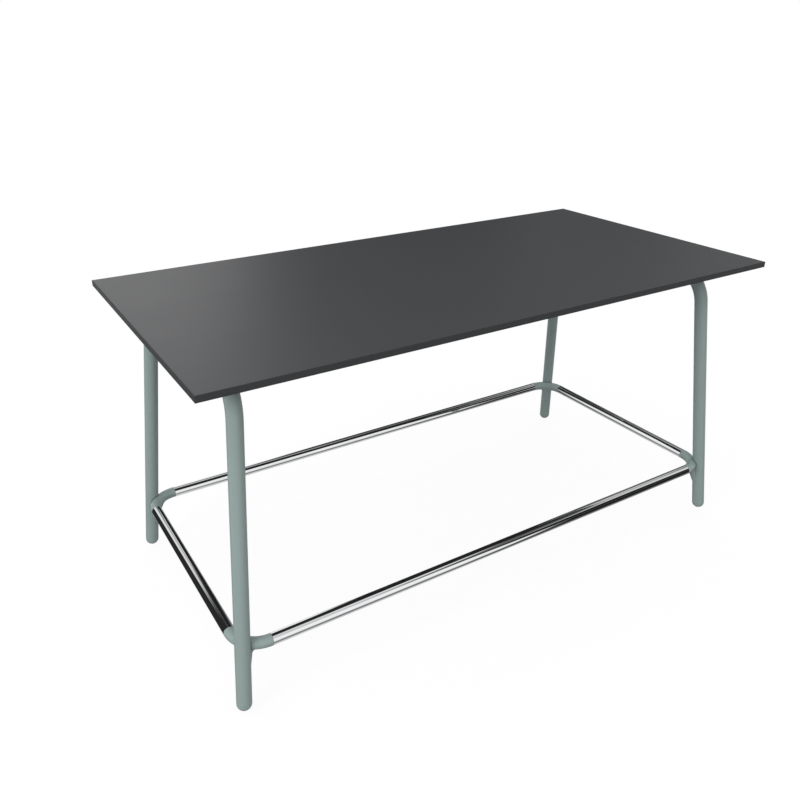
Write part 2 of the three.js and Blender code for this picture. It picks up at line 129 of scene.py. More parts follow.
# Foot ring
RING_RADIUS = 16 * MM
RING_WALL = 1.5 * MM
RING_BEND_RADIUS = 78 * MM
SPIGOT_LENGTH = 35 * MM
SPIGOT_WALL = 2.5 * MM
RING_EDGE = 0.35 * MM
CORNER_ROD_REACH = 8 * RING_RADIUS
RING_SEAM = 0.5 * MM  # shows as a thin dark line round the bend

# Brackets
BRACKET_RADIUS = 16 * MM
BRACKET_REACH = 19 * MM
BRACKET_SLANT = 18.2 / 57  # sideways for each step down
BRACKET_FILLET = 11 * MM
BRACKET_FOLLOW = 0.9  # how far the fillet's tips follow the bend inwards
BRACKET_FLARE_POWER = 4  # how closely the fillet keeps to the stub's two sides

# Edge bands
BAND_EDGE = 0.8 * MM

# Weld beads
BEAD_SIDES = 12
BEAD_RIPPLE = 0.07
BEAD_RIPPLE_STEP = 2.1
BEAD_END = 0.28  # share of the radius at an end, and gained with each step

# Painted shade in the creases of the powder-coated pieces
CREASE_REACH = 5 * MM
CREASE_SHADE = 0.35
CREASE_OPENNESS = (0.35, 0.85)  # how open a place is where the painted shade is full, and where it ends
CREASE_SAMPLES = 8

# Clearances
WELD_GAP = 0.3 * MM
FIT_GAP = 0.3 * MM
TOUCH = 0.05 * MM  # between pieces that the CAD model keeps a weld gap apart

# Smoothness
SHARP_DEG = 32
MERGE = 1e-6
TUBE_SIDES = 72
RAIL_SIDES = 96
SCREW_SIDES = 28
STUD_SIDES = 32
BEND_STEPS = 40
EDGE_STEPS = 4
DOME_STEPS = 28
CRADLE_STEPS = 24
PLATE_EDGE_STEPS = 2
STIFFENER_EDGE_STEPS = 3
STIFFENER_BEND_STEPS = 8
SCREW_HEAD_STEPS = 8
BRACKET_STEPS = 12
BRACKET_FILLET_STEPS = 10

CORNERS = {"front_left": (-1, -1), "front_right": (1, -1), "back_left": (-1, 1), "back_right": (1, 1)}
SIDES = ("front", "back", "left", "right")
record = frame["record"]
SLOT_OF = {part["node"]: part["material_slot"] for part in record["subparts"]}
BODY_OF = {node: body for body, nodes in record["behaviour"]["bodies"].items() for node in nodes}
MOUNTS = {mount["name"]: Vector(mount["pos_m"]) for mount in record["mounts"]}
LEG_UP = {joint["child"]: -Vector(joint["axis"]) for joint in frame["joints"]}


def middle(node):
    low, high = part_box(node)
    return (low + high) / 2


# Places that the CAD model gives
FOOT_RISE = Vector((0, 0, math.sqrt(LEG_RADIUS ** 2 - FOOT_FLAT_RADIUS ** 2)))
CROSS_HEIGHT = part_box("saddle_plate_back_right")[1].z - PLATE_THICKNESS - WELD_GAP - LEG_RADIUS
PLATE_HALF_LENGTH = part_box("saddle_plate_back_right")[1].y - middle("saddle_plate_back_right").y
RING_X = middle("ring_rail_right").x
RING_Y = middle("ring_rail_back").y
RING_Z = middle("ring_rail_back").z
RAIL_HALF_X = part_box("ring_rail_back")[1].x
RAIL_HALF_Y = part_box("ring_rail_right")[1].y
CORNER_FOOT = MOUNTS["foot_back_right"] + FOOT_RISE
CORNER_UP = LEG_UP["foot_back_right"]
CORNER_LEG = CORNER_FOOT + CORNER_UP * ((RING_Z - CORNER_FOOT.z) / CORNER_UP.z)


# Mesh helpers


def span(start, end, steps):
    return [start + (end - start) * k / steps for k in range(steps + 1)]


def circle(centre, across, up, radius, sides):
    turns = span(0, 2 * math.pi, sides)[:-1]
    return [centre + radius * (math.cos(turn) * across + math.sin(turn) * up) for turn in turns]


def skin(rings, close):
    """A bmesh through rings of points: its ends get caps, join in a loop, or meet in poles."""
    mesh = bmesh.new()
    rows = [[mesh.verts.new(point) for point in ring] for ring in rings]
    following = rows[1:] + rows[:1] if close == "loop" else rows[1:]
    for here, there in zip(rows, following):
        for k in range(len(here)):
            mesh.faces.new((here[k - 1], here[k], there[k], there[k - 1]))
    if close == "caps":
        caps = [mesh.faces.new(rows[0]), mesh.faces.new(rows[-1])]
        bmesh.ops.triangulate(mesh, faces=caps)
    return tidy(mesh)


def tidy(mesh):
    bmesh.ops.remove_doubles(mesh, verts=mesh.verts, dist=MERGE)
    bmesh.ops.dissolve_degenerate(mesh, edges=mesh.edges, dist=MERGE)
    bmesh.ops.recalc_face_normals(mesh, faces=mesh.faces)
    return mesh


def arc(centre, radius, start_deg, end_deg, steps):
    """Points in a plane along an arc round a centre."""
    across, up = centre
    turns = [math.radians(turn) for turn in span(start_deg, end_deg, steps)]
    return [(across + radius * math.cos(turn), up + radius * math.sin(turn)) for turn in turns]


def revolve(profile, sides, close="poles"):
    """A bmesh of (radius, height) points turned round Z."""
    rings = [circle(Z_AXIS * height, X_AXIS, Y_AXIS, radius, sides) for radius, height in profile]
    return skin(rings, close)


def rounded_path(corners, radius, steps):
    """Points and tangents along straight runs, with each inner corner rounded by an arc."""
    runs = [(after - before).normalized() for before, after in zip(corners, corners[1:])]
    path = [(corners[0], runs[0])]
    for corner, before, after in zip(corners[1:], runs, runs[1:]):
        turn = before.angle(after)
        axis = before.cross(after).normalized()
        start = corner - before * radius * math.tan(turn / 2)
        spoke = axis.cross(before) * -radius
        for angle in span(0, turn, steps):
            turned = Matrix.Rotation(angle, 3, axis)
            path.append((start - spoke + turned @ spoke, turned @ before))
    return path + [(corners[-1], runs[-1])]


def sweep(stations, normal, bore, sides):
    """A tube with a bore along a flat path of points, tangents and outer radii."""
    inside = [(point, tangent, bore) for point, tangent, _ in reversed(stations)]
    rings = []
    for point, tangent, radius in stations + inside:
        rings.append(circle(point, normal.cross(tangent), normal, radius, sides))
    return skin(rings, "loop")


def chamfered(path, radius, edge):
    """Stations of a tube whose two ends are broken by a small chamfer."""
    (first, start), (last, end) = path[0], path[-1]
    inner = [(point, tangent, radius) for point, tangent in path[1:-1]]
    head = [(first, start, radius - edge), (first + start * edge, start, radius)]
    tail = [(last - end * edge, end, radius), (last, end, radius - edge)]
    return head + inner + tail


def rod(start, end, radius, sides):
    along = (end - start).normalized()
    across = along.orthogonal().normalized()
    up = along.cross(across)
    return skin([circle(point, across, up, radius, sides) for point in (start, end)], "caps")


def bead(start, end, radius, steps):
    """A straight, rippled weld bead whose ends are drawn in."""
    along = (end - start).normalized()
    across = along.orthogonal().normalized()
    rings = []
    for k, point in enumerate(span(start, end, steps)):
        ripple = 1 + BEAD_RIPPLE * math.sin(k * BEAD_RIPPLE_STEP)
        drawn = min(1, BEAD_END + min(k, steps - k) * BEAD_END)
        rings.append(circle(point, across, along.cross(across), radius * ripple * drawn, BEAD_SIDES))
    return skin(rings, "caps")


def temporary(mesh):
    data = bpy.data.meshes.new("temporary")
    mesh.to_mesh(data)
    mesh.free()
    item = bpy.data.objects.new("temporary", data)
    bpy.context.scene.collection.objects.link(item)
    return item


def combine(operation, body, *tools):
    """Joins bmeshes to a body (UNION) or cuts them out of it (DIFFERENCE)."""
    items = [temporary(mesh) for mesh in (body, *tools)]
    for tool in items[1:]:
        step = items[0].modifiers.new(operation, "BOOLEAN")
        step.operation = operation
        step.object = tool
        step.solver = "EXACT"
    bpy.context.view_layer.update()
    result = bmesh.new()
    result.from_object(items[0], bpy.context.evaluated_depsgraph_get())
    for item in items:
        data = item.data
        bpy.data.objects.remove(item)
        bpy.data.meshes.remove(data)
    return tidy(result)


def ease(mesh, edges, offset, steps):
    """Rounds edges of a bmesh."""
    bmesh.ops.bevel(mesh, geom=edges, offset=offset, segments=steps, profile=0.5, affect="EDGES")


def slice_off(mesh, point, outward):
    """Cuts away what lies outside a plane and leaves the cut open."""
    geometry = mesh.verts[:] + mesh.edges[:] + mesh.faces[:]
    bmesh.ops.bisect_plane(mesh, geom=geometry, plane_co=point, plane_no=outward, clear_outer=True)


def cut_flat(mesh, point, outward):
    """Cuts away what lies outside a plane and closes the cut."""
    slice_off(mesh, point, outward)
    open_edges = [edge for edge in mesh.edges if edge.is_boundary]
    bmesh.ops.edgeloop_fill(mesh, edges=open_edges)
    return tidy(mesh)


def thread(heights, radii, pitch, limit, sides):
    """A screw thread round Z between two heights, with a root and a crest radius.

    limit gives the largest radius at a height.
    """
    low, high = heights
    root, crest = radii
    profile = list(zip(THREAD_FLANKS, (root, root, crest, crest)))
    per_turn = len(profile)
    first = math.floor(low / pitch) - THREAD_SPARE_TURNS
    last = math.ceil(high / pitch) + THREAD_SPARE_TURNS
    mesh = bmesh.new()
    rows = []
    for turn in range(first, last):
        for part, radius in profile:
            row = []
            for k in range(sides):
                angle = 2 * math.pi * k / sides
                height = (turn + part + k / sides) * pitch
                reach = min(radius, limit(height))
                row.append(mesh.verts.new((reach * math.cos(angle), reach * math.sin(angle), height)))
            rows.append(row)
    for here, there in zip(rows, rows[1:]):
        for k in range(sides - 1):
            mesh.faces.new((here[k], here[k + 1], there[k + 1], there[k]))
    for k in range(len(rows) - per_turn - 1):
        seam = (rows[k][-1], rows[k + per_turn][0], rows[k + per_turn + 1][0], rows[k + 1][-1])
        mesh.faces.new(seam)
    slice_off(mesh, Z_AXIS * low, -Z_AXIS)
    slice_off(mesh, Z_AXIS * high, Z_AXIS)
    bmesh.ops.holes_fill(mesh, edges=mesh.edges, sides=0)
    return tidy(mesh)


def moved(mesh, matrix):
    """A copy of a bmesh, moved. A mirrored copy keeps its faces outwards."""
    copy = mesh.copy()
    bmesh.ops.transform(copy, matrix=matrix, verts=copy.verts)
    if matrix.determinant() < 0:
        bmesh.ops.reverse_faces(copy, faces=copy.faces)
    return copy


def mirrored(mesh, corner):
    """A copy of a piece of the back right corner for another corner."""
    return moved(mesh, Matrix.Diagonal((*CORNERS[corner], 1, 1)))


def along_axis(place, axis):
    """The matrix that stands Z along an axis at a place."""
    return Matrix.Translation(place) @ axis.to_track_quat("Z", "Y").to_matrix().to_4x4()


def make(node, mesh):
    """Turns a bmesh into the piece that stands for a CAD node, in its finish and on its body."""
    for face in mesh.faces:
        face.smooth = True
    for edge in mesh.edges:
        edge.smooth = edge.calc_face_angle(math.pi) < math.radians(SHARP_DEG)
    data = bpy.data.meshes.new(f"{node}.fine")
    mesh.to_mesh(data)
    mesh.free()
    slot = SLOT_OF[node]
    data.materials.append(MATERIALS[slot])
    piece = bpy.data.objects.new(f"{node}.fine", data)
    bpy.context.scene.collection.objects.link(piece)
    shading = piece.modifiers.new("large faces lead the shading", "WEIGHTED_NORMAL")
    shading.keep_sharp = True
    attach(piece, BODY_OF[node])
    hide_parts(node)


# Materials


class Finish:
    """A material with a principled shader, and short calls for the nodes that feed it."""

    def __init__(self, name, color, roughness, metallic=0.0, specular=0.5):
        self.material = bpy.data.materials.new(name)
        self.material.use_nodes = True
        self.material.diffuse_color = (*color, 1)
        self.tree = self.material.node_tree
        self.shader = self.tree.nodes["Principled BSDF"]
        self.shader.inputs["Base Color"].default_value = (*color, 1)
        self.shader.inputs["Roughness"].default_value = roughness
        self.shader.inputs["Metallic"].default_value = metallic
        self.shader.inputs["Specular IOR Level"].default_value = specular
        self.place = self.tree.nodes.new("ShaderNodeTexCoord").outputs["Object"]
        self.normal = None

    def add(self, kind, links=(), **values):
        node = self.tree.nodes.new(kind)
        for name, value in values.items():
            node.inputs[name.replace("_", " ")].default_value = value
        for name, source in links:
            self.tree.links.new(source, node.inputs[name])
        return node

    def noise(self, per_metre, detail=2.0, stretch=None):
        """A cloud of values from 0 to 1, with so many waves in a metre."""
        place = self.place
        if stretch:
            place = self.add("ShaderNodeMapping", [("Vector", place)], Scale=stretch).outputs["Vector"]
        node = self.add("ShaderNodeTexNoise", [("Vector", place)], Scale=per_metre, Detail=detail)
        return node.outputs["Fac"]

    def cells(self, per_metre):
        node = self.add("ShaderNodeTexVoronoi", [("Vector", self.place)], Scale=per_metre)
        return node.outputs["Distance"]

    def painted_crease_shade(self, reach):
        """A mask for painted shade: 1 in the deepest creases between surfaces, 0 where the surface lies open."""
        node = self.add("ShaderNodeAmbientOcclusion", Distance=reach)
        node.samples = CREASE_SAMPLES
        return self.ranged(node.outputs["AO"], 1, 0, *CREASE_OPENNESS)

    def ranged(self, source, low, high, start=0.3, end=0.7):
        node = self.add("ShaderNodeMapRange", [("Value", source)])
        for name, value in (("From Min", start), ("From Max", end), ("To Min", low), ("To Max", high)):
            node.inputs[name].default_value = value
        return node.outputs["Result"]

    def blend(self, source, first, second):
        """Mixes two colours, or the colour from another node and a colour."""
        node = self.tree.nodes.new("ShaderNodeMix")
        node.data_type = "RGBA"
        self.tree.links.new(source, node.inputs["Factor"])
        for socket, color in zip((node.inputs[6], node.inputs[7]), (first, second)):
            if isinstance(color, tuple):
                socket.default_value = (*color, 1)
            else:
                self.tree.links.new(color, socket)
        return node.outputs[2]

    def color(self, source):
        self.tree.links.new(source, self.shader.inputs["Base Color"])

    def roughness(self, source):
        self.tree.links.new(source, self.shader.inputs["Roughness"])

    def bump(self, source, depth, strength):
        """Adds relief of a real depth on top of any that is there."""
        links = [("Height", source)]
        if self.normal:
            links.append(("Normal", self.normal))
        node = self.add("ShaderNodeBump", links, Strength=strength, Distance=depth)
        self.normal = node.outputs["Normal"]
        self.tree.links.new(self.normal, self.shader.inputs["Normal"])


def shade(color, factor):
    return tuple(part * factor for part in color)


def powder_coat(name, color, roughness):
    """Satin powder coat: soft orange peel, a fine grain, faint unevenness and shade painted into the creases."""
    finish = Finish(name, color, roughness)
    specks = finish.ranged(finish.noise(1400), 0, 1)
    grain = finish.blend(specks, shade(color, 0.975), shade(color, 1.025))
    cloud = finish.ranged(finish.noise(7, 3), 0, 0.5)
    coat = finish.blend(cloud, grain, shade(color, 0.94))
    # The creases get a darker colour from how closed in they are: painted shade
    finish.color(finish.blend(finish.painted_crease_shade(CREASE_REACH), coat, shade(color, CREASE_SHADE)))
    finish.roughness(finish.ranged(finish.noise(55, 3), roughness - 0.05, roughness + 0.05))
    finish.bump(finish.noise(520, 1), 0.05 * MM, 0.35)
    finish.bump(finish.noise(2400, 1), 0.01 * MM, 0.3)
    return finish.material


def laminate(name, color, roughness, specular):
    """Matt laminate: a fine pearl relief, a faint fleck and patches where hands have wiped it."""
    finish = Finish(name, color, roughness, specular=specular)
    fleck = finish.ranged(finish.noise(1100, 2), 0, 1, 0.45, 0.75)
    base = finish.blend(fleck, shade(color, 0.94), shade(color, 1.16))
    cloud = finish.ranged(finish.noise(3.2, 5), 0, 0.5)
    finish.color(finish.blend(cloud, base, shade(color, 0.97)))
    finish.roughness(finish.ranged(finish.noise(6, 4), roughness - 0.012, roughness + 0.012))
    finish.bump(finish.cells(1500), 0.03 * MM, 0.25)
    finish.bump(finish.noise(420, 2), 0.02 * MM, 0.2)
    return finish.material


def edge_plastic(name, color, roughness, specular):
    """Edge band plastic: fine lines along the band and a soft grain."""
    finish = Finish(name, color, roughness, specular=specular)
    lines = finish.noise(40, 3, stretch=(1, 1, 60))
    finish.color(finish.blend(finish.ranged(lines, 0, 1), shade(color, 0.93), shade(color, 1.08)))
    finish.roughness(finish.ranged(finish.noise(30, 3), roughness - 0.05, roughness + 0.05))
    finish.bump(finish.noise(1300, 2), 0.02 * MM, 0.25)
    return finish.material


def chrome_plate(name, color, roughness):
    """Polished chrome: slight haze in patches, and the finest polishing marks."""
    finish = Finish(name, color, roughness, metallic=1.0)
    haze = finish.ranged(finish.noise(9, 4), 0, 1)
    finish.color(finish.blend(haze, color, shade(color, 0.95)))
    finish.roughness(finish.ranged(finish.noise(24, 4), roughness, roughness + 0.02))
    finish.bump(finish.noise(1800, 2), 0.002 * MM, 0.12)
    return finish.material


def zinc_plate(name, color, roughness):
    """Bright zinc: bluish and yellowish patches, and a dull grain."""
    finish = Finish(name, color, roughness, metallic=1.0)
    cool = shade(color, 0.96)
    warm = (color[0] * 1.06, color[1] * 1.03, color[2] * 0.92)
    finish.color(finish.blend(finish.ranged(finish.noise(160, 3), 0, 1), cool, warm))
    finish.roughness(finish.ranged(finish.noise(420, 3), roughness - 0.07, roughness + 0.08))
    finish.bump(finish.noise(2600, 2), 0.01 * MM, 0.2)
    return finish.material


def fibreboard(name, color, roughness):
    """Raw fibreboard: short fibres and darker specks."""
    finish = Finish(name, color, roughness, specular=0.2)
    fibres = finish.ranged(finish.noise(320, 5, stretch=(1, 1, 4)), 0, 1)
    base = finish.blend(fibres, shade(color, 0.75), shade(color, 1.2))
    specks = finish.ranged(finish.noise(900, 2), 0, 0.6, 0.6, 0.8)
    finish.color(finish.blend(specks, base, shade(color, 0.4)))
    finish.bump(finish.noise(900, 4), 0.1 * MM, 0.5)
    return finish.material


def moulded_plastic(name, color, roughness):
    """Moulded plastic with a fine spark texture."""
    finish = Finish(name, color, roughness)
    cloud = finish.ranged(finish.noise(20, 3), 0, 1)
    finish.color(finish.blend(cloud, shade(color, 0.96), shade(color, 1.03)))
    finish.roughness(finish.ranged(finish.noise(80, 3), roughness - 0.05, roughness + 0.06))
    finish.bump(finish.cells(1900), 0.015 * MM, 0.3)
    return finish.material


SAGE = (0.260, 0.330, 0.317)
MATERIALS = {
    "dark_laminate": laminate("dark_laminate", (0.058, 0.060, 0.063), 0.40, 0.45),
    # A darker copy of the top's laminate for the underside: painted shade
    "shaded_underside_laminate": laminate("shaded_underside_laminate", (0.030, 0.031, 0.033), 0.55, 0.30),
    "dark_edge": edge_plastic("dark_edge", (0.034, 0.036, 0.038), 0.56, 0.30),
    "board_core": fibreboard("board_core", (0.25, 0.15, 0.07), 0.9),
    "sage_paint": powder_coat("sage_paint", SAGE, 0.42),
    "sage_plastic": moulded_plastic("sage_plastic", SAGE, 0.46),
    "chrome": chrome_plate("chrome", (0.86, 0.865, 0.875), 0.0),
    "zinc_steel": zinc_plate("zinc_steel", (0.52, 0.53, 0.54), 0.34),
    "black_paint": powder_coat("black_paint", (0.020, 0.021, 0.023), 0.48),
    "black_plastic": moulded_plastic("black_plastic", (0.014, 0.014, 0.015), 0.55),
}


# Camera


def add_camera():
    data = bpy.data.cameras.new("camera")
    data.lens = CAMERA_LENS_MM
    data.sensor_width = CAMERA_SENSOR_MM
    camera = bpy.data.objects.new("camera", data)
    camera.location = CAMERA_PLACE
    camera.rotation_euler = (math.radians(90 - CAMERA_DIP_DEG), 0, math.radians(CAMERA_TURN_DEG))
    bpy.context.scene.collection.objects.link(camera)
    bpy.context.scene.camera = camera


# Table top


def edge_band(node):
    """A straight band whose outer long edges, and those at the table's corners, are eased."""
    low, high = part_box(node)
    size = high - low
    lengthwise = size.x > size.y
    outward = Y_AXIS * low.y if lengthwise else X_AXIS * low.x
    mesh = bmesh.new()
    place = Matrix.Translation(middle(node)) @ Matrix.Diagonal((*size, 1))
    bmesh.ops.create_cube(mesh, size=1, matrix=place)
    face = max(mesh.faces, key=lambda item: item.normal.dot(outward))
    edges = face.edges[:]
    if not lengthwise:
        edges = [edge for edge in edges if abs(edge.verts[0].co.z - edge.verts[1].co.z) < MERGE]
    ease(mesh, edges, BAND_EDGE, EDGE_STEPS)
    return mesh


BOARD_FINISHES = {
    "tabletop_core": "board_core",
    "top_laminate": "dark_laminate",
    # The underside takes the darker copy of the laminate, as painted shade
    "underside_laminate": "shaded_underside_laminate",
}


def add_top():
    for side in SIDES:
        make(f"edge_band_{side}", edge_band(f"edge_band_{side}"))
    for node, finish in BOARD_FINISHES.items():
        mesh = frame["nodes"][node].data
        mesh.materials.clear()
        mesh.materials.append(MATERIALS[finish])


# Leg frames


def leg_frame(side):
    """One tube from foot to foot, bent twice under the top."""
    ends, tops = [], []
    for row in ("front", "back"):
        foot = MOUNTS[f"foot_{row}_{side}"] + FOOT_RISE
        up = LEG_UP[f"foot_{row}_{side}"]
        ends.append(foot + up * FIT_GAP)
        tops.append(foot + up * ((CROSS_HEIGHT - foot.z) / up.z))
    path = rounded_path([ends[0], tops[0], tops[1], ends[1]], LEG_BEND_RADIUS, BEND_STEPS)
    normal = (tops[0] - ends[0]).cross(tops[1] - tops[0]).normalized()
    return sweep(chamfered(path, LEG_RADIUS, TUBE_EDGE), normal, LEG_RADIUS - LEG_WALL, TUBE_SIDES)


def saddle_plate():
    """A plate over a tube that runs along Y through the origin, with a weld bead along each lip."""
    cradle = LEG_RADIUS + TOUCH
    top = LEG_RADIUS + WELD_GAP + PLATE_THICKNESS
    wing = top - PLATE_THICKNESS
    lip = wing - CRADLE_DEPTH
    half = LEG_RADIUS + WELD_GAP + CRADLE_LIP
    lip_deg = math.degrees(math.asin(lip / cradle))
    outline = [(-half - PLATE_WING, top), (-half - PLATE_WING, wing), (-half, wing), (-half, lip)]
    outline += arc((0, 0), cradle, 180 - lip_deg, lip_deg, CRADLE_STEPS)
    outline += [(half, lip), (half, wing), (half + PLATE_WING, wing), (half + PLATE_WING, top)]
    rows = [[Vector((x, y, z)) for x, z in outline] for y in (-PLATE_HALF_LENGTH, PLATE_HALF_LENGTH)]
    plate = skin(rows, "caps")
    sharp = [edge for edge in plate.edges if edge.calc_face_angle(0) > math.radians(SHARP_DEG)]
    ease(plate, sharp, PLATE_EDGE, PLATE_EDGE_STEPS)
    run = PLATE_HALF_LENGTH - PLATE_BEAD_INSET
    beads = []
    for sign in (-1, 1):
        crease = sign * math.sqrt(LEG_RADIUS ** 2 - lip ** 2)
        start = Vector((crease + sign * PLATE_BEAD_OUT, -run, lip))
        end = Vector((crease + sign * PLATE_BEAD_OUT, run, lip))
        beads.append(bead(start, end, PLATE_BEAD_RADIUS, PLATE_BEAD_STEPS))
    welded = combine("UNION", tidy(plate), *beads)
    hole = half + PLATE_WING / 2
    drills = [
        rod(Vector((x, 0, 0)), Vector((x, 0, 2 * top)), SCREW_RADIUS + FIT_GAP, SCREW_SIDES)
        for x in (-hole, hole)
    ]
    return combine("DIFFERENCE", welded, *drills)


def add_leg_frames():
    for side in ("left", "right"):
        make(f"leg_frame_{side}", leg_frame(side))
    plate = saddle_plate()
    for corner in CORNERS:
        node = f"saddle_plate_{corner}"
        place = Vector((middle(node).x, middle(node).y, CROSS_HEIGHT))
        make(node, moved(plate, Matrix.Translation(place)))


# Stiffeners


def stiffener(node):
    """A cold-bent channel: its back lies against the board and its sides point down."""
    low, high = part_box(node)
    half = (high.y - low.y) / 2
    depth = high.z - low.z
    edge = STIFFENER_EDGE
    inner_bend = STIFFENER_BEND - STIFFENER_WALL
    inner = half - STIFFENER_WALL
    side = arc((inner + edge, -depth + edge), edge, 180, 270, STIFFENER_EDGE_STEPS)
    side += arc((half - edge, -depth + edge), edge, 270, 360, STIFFENER_EDGE_STEPS)
    side += arc((half - STIFFENER_BEND, -STIFFENER_BEND), STIFFENER_BEND, 0, 90, STIFFENER_BEND_STEPS)
    hollow_at = (inner - inner_bend, -STIFFENER_WALL - inner_bend)
    hollow = arc(hollow_at, inner_bend, 90, 0, STIFFENER_BEND_STEPS // 2)
    other_side = [(-y, z) for y, z in reversed(side)]
    other_hollow = [(-y, z) for y, z in reversed(hollow)]
    outline = side + other_side + other_hollow + hollow
    centre = middle(node)
    rows = [[Vector((x, centre.y + y, high.z + z)) for y, z in outline] for x in (low.x, high.x)]
    channel = skin(rows, "caps")
    row = node.removeprefix("stiffener_")
    drills = []
    for place in ("left", "middle", "right"):
        spot = middle(f"stiffener_screw_{row}_{place}")
        start = Vector((spot.x, spot.y, high.z - 2 * STIFFENER_WALL))
        end = Vector((spot.x, spot.y, high.z + STIFFENER_WALL))
        drills.append(rod(start, end, SCREW_RADIUS + FIT_GAP, SCREW_SIDES))
    return combine("DIFFERENCE", channel, *drills)


def add_stiffeners():
    for row in ("front", "back"):
        make(f"stiffener_{row}", stiffener(f"stiffener_{row}"))


# Wood screws


def cross_outline(reach, width, height):
    """A cross with four equal arms, as points round Z at a height."""
    arm = [Vector((reach, -width, 0)), Vector((reach, width, 0)), Vector((width, width, 0))]
    turns = [Matrix.Rotation(math.pi / 2 * k, 3, "Z") for k in range(4)]
    return [turn @ point + Z_AXIS * height for turn in turns for point in arm]


def wood_screw(length):
    """A pan head with a cross recess below z = 0, and a threaded, pointed shank above it."""
    rim = SCREW_HEAD_RIM
    head = [(0, -SCREW_HEAD_HEIGHT), (SCREW_HEAD_FLAT, -SCREW_HEAD_HEIGHT)]
    for turn in span(SCREW_HEAD_ARC_DEG, 0, SCREW_HEAD_STEPS):
        angle = math.radians(turn)
        radius = SCREW_HEAD_FLAT + (SCREW_HEAD_RADIUS - SCREW_HEAD_FLAT) * math.cos(angle)
        head.append((radius, -rim - (SCREW_HEAD_HEIGHT - rim) * math.sin(angle)))
    head += [(SCREW_HEAD_RADIUS, -SCREW_HEAD_EDGE), (SCREW_HEAD_RADIUS - SCREW_HEAD_EDGE, 0)]
    head += [(SCREW_CORE_RADIUS, 0), (SCREW_CORE_RADIUS, SCREW_PITCH), (0, SCREW_PITCH)]
    reach, width = RECESS_REACH, RECESS_WIDTH
    mouth = -SCREW_HEAD_HEIGHT - RECESS_PAST_HEAD
    floor = -SCREW_HEAD_HEIGHT + RECESS_DEPTH
    wide = cross_outline(reach * RECESS_FLARE, width * RECESS_FLARE, mouth)
    narrow = cross_outline(reach * RECESS_REACH_TAPER, width * RECESS_WIDTH_TAPER, floor)
    pan = combine("DIFFERENCE", revolve(head, SCREW_SIDES), skin([wide, narrow], "caps"))

    def limit(height):
        taper = max(SCREW_POINT, (length - height) / SCREW_TIP)
        return SCREW_RADIUS * min(1.0, taper)

    radii = (SCREW_CORE_RADIUS, SCREW_RADIUS)
    shank = thread((SCREW_THREAD_START, length), radii, SCREW_PITCH, limit, SCREW_SIDES)
    return combine("UNION", pan, shank)


def add_screws():
    screws = {}
    nodes = sorted(node for node in SLOT_OF if "_screw_" in node)
    for count, node in enumerate(nodes):
        low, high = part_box(node)
        seat = low.z + SCREW_HEAD_HEIGHT
        length = round(high.z - seat, 4)
        if length not in screws:
            screws[length] = wood_screw(length)
        turn = Matrix.Rotation(math.radians(SCREW_TURN_DEG * count), 4, "Z")
        place = Vector((middle(node).x, middle(node).y, seat))
        make(node, moved(screws[length], Matrix.Translation(place) @ turn))


# Feet


def foot_dome():
    """Half a ball with a socket for the stud, cut flat where it stands."""
    socket = STUD_RADIUS + FIT_GAP
    edge = DOME_EDGE
    profile = [(0, -SOCKET_DEPTH), (socket, -SOCKET_DEPTH), (socket, -edge), (socket + edge, 0)]
    profile += arc((LEG_RADIUS - edge, -edge), edge, 90, 0, EDGE_STEPS)
    start_deg = -math.degrees(math.asin(edge / LEG_RADIUS))
    profile += arc((0, 0), LEG_RADIUS, start_deg, -90, DOME_STEPS)[1:-1]
    profile.append((0, -LEG_RADIUS))
    dome = moved(revolve(profile, TUBE_SIDES), along_axis(CORNER_FOOT, CORNER_UP))
    return cut_flat(dome, Vector((0, 0, 0)), -Z_AXIS)


def levelling_stud():
    """A threaded rod in the dome's socket and the leg's plug, with both ends chamfered."""
    low = -SOCKET_DEPTH + FIT_GAP

    def limit(height):
        return STUD_RADIUS - STUD_CHAMFER + max(0, min(STUD_CHAMFER, height - low, STUD_REACH - height))

    stud = thread((low, STUD_REACH), (STUD_ROOT_RADIUS, STUD_RADIUS), STUD_PITCH, limit, STUD_SIDES)
    return moved(stud, along_axis(CORNER_FOOT, CORNER_UP))


def leg_plug():
    """A ribbed insert in the tube's end, with a groove round the hole for the stud."""
    outer = LEG_RADIUS - LEG_WALL - FIT_GAP
    bore = STUD_RADIUS + FIT_GAP
    low = FIT_GAP
    high = FIT_GAP + PLUG_LENGTH
    groove = (outer + bore) / 2
    profile = [(bore, high), (bore, low + PLUG_LEAD_IN), (bore + PLUG_LEAD_IN, low)]
    profile += [(groove - PLUG_GROOVE, low), (groove - PLUG_GROOVE, low + PLUG_GROOVE)]
    profile += [(groove + PLUG_GROOVE, low + PLUG_GROOVE), (groove + PLUG_GROOVE, low)]
    profile += [(outer - PLUG_RIB, low), (outer, low + PLUG_RIB), (outer, low + PLUG_COLLAR)]
    step = (PLUG_LENGTH - PLUG_COLLAR - PLUG_TAIL) / PLUG_RIB_COUNT
    for k in range(PLUG_RIB_COUNT):
        base = low + PLUG_COLLAR + step * k
        profile += [(outer - PLUG_RIB, base + PLUG_RIB), (outer - PLUG_RIB, base + step - PLUG_RIB)]
        profile.append((outer, base + step))
    profile.append((outer - PLUG_RIB, high))
    return moved(revolve(profile, TUBE_SIDES, "loop"), along_axis(CORNER_FOOT, CORNER_UP))


def add_feet():
    shapes = {"foot_dome": foot_dome(), "levelling_stud": levelling_stud(), "leg_plug": leg_plug()}
    for corner in CORNERS:
        for name, shape in shapes.items():
            make(f"{name}_{corner}", mirrored(shape, corner))


# Foot ring


def corner_rod(gap):
    """The back right leg as a solid, past the ring's level both ways, with a gap round it."""
    reach = CORNER_UP * CORNER_ROD_REACH
    return rod(CORNER_LEG - reach, CORNER_LEG + reach, LEG_RADIUS + gap, RAIL_SIDES)


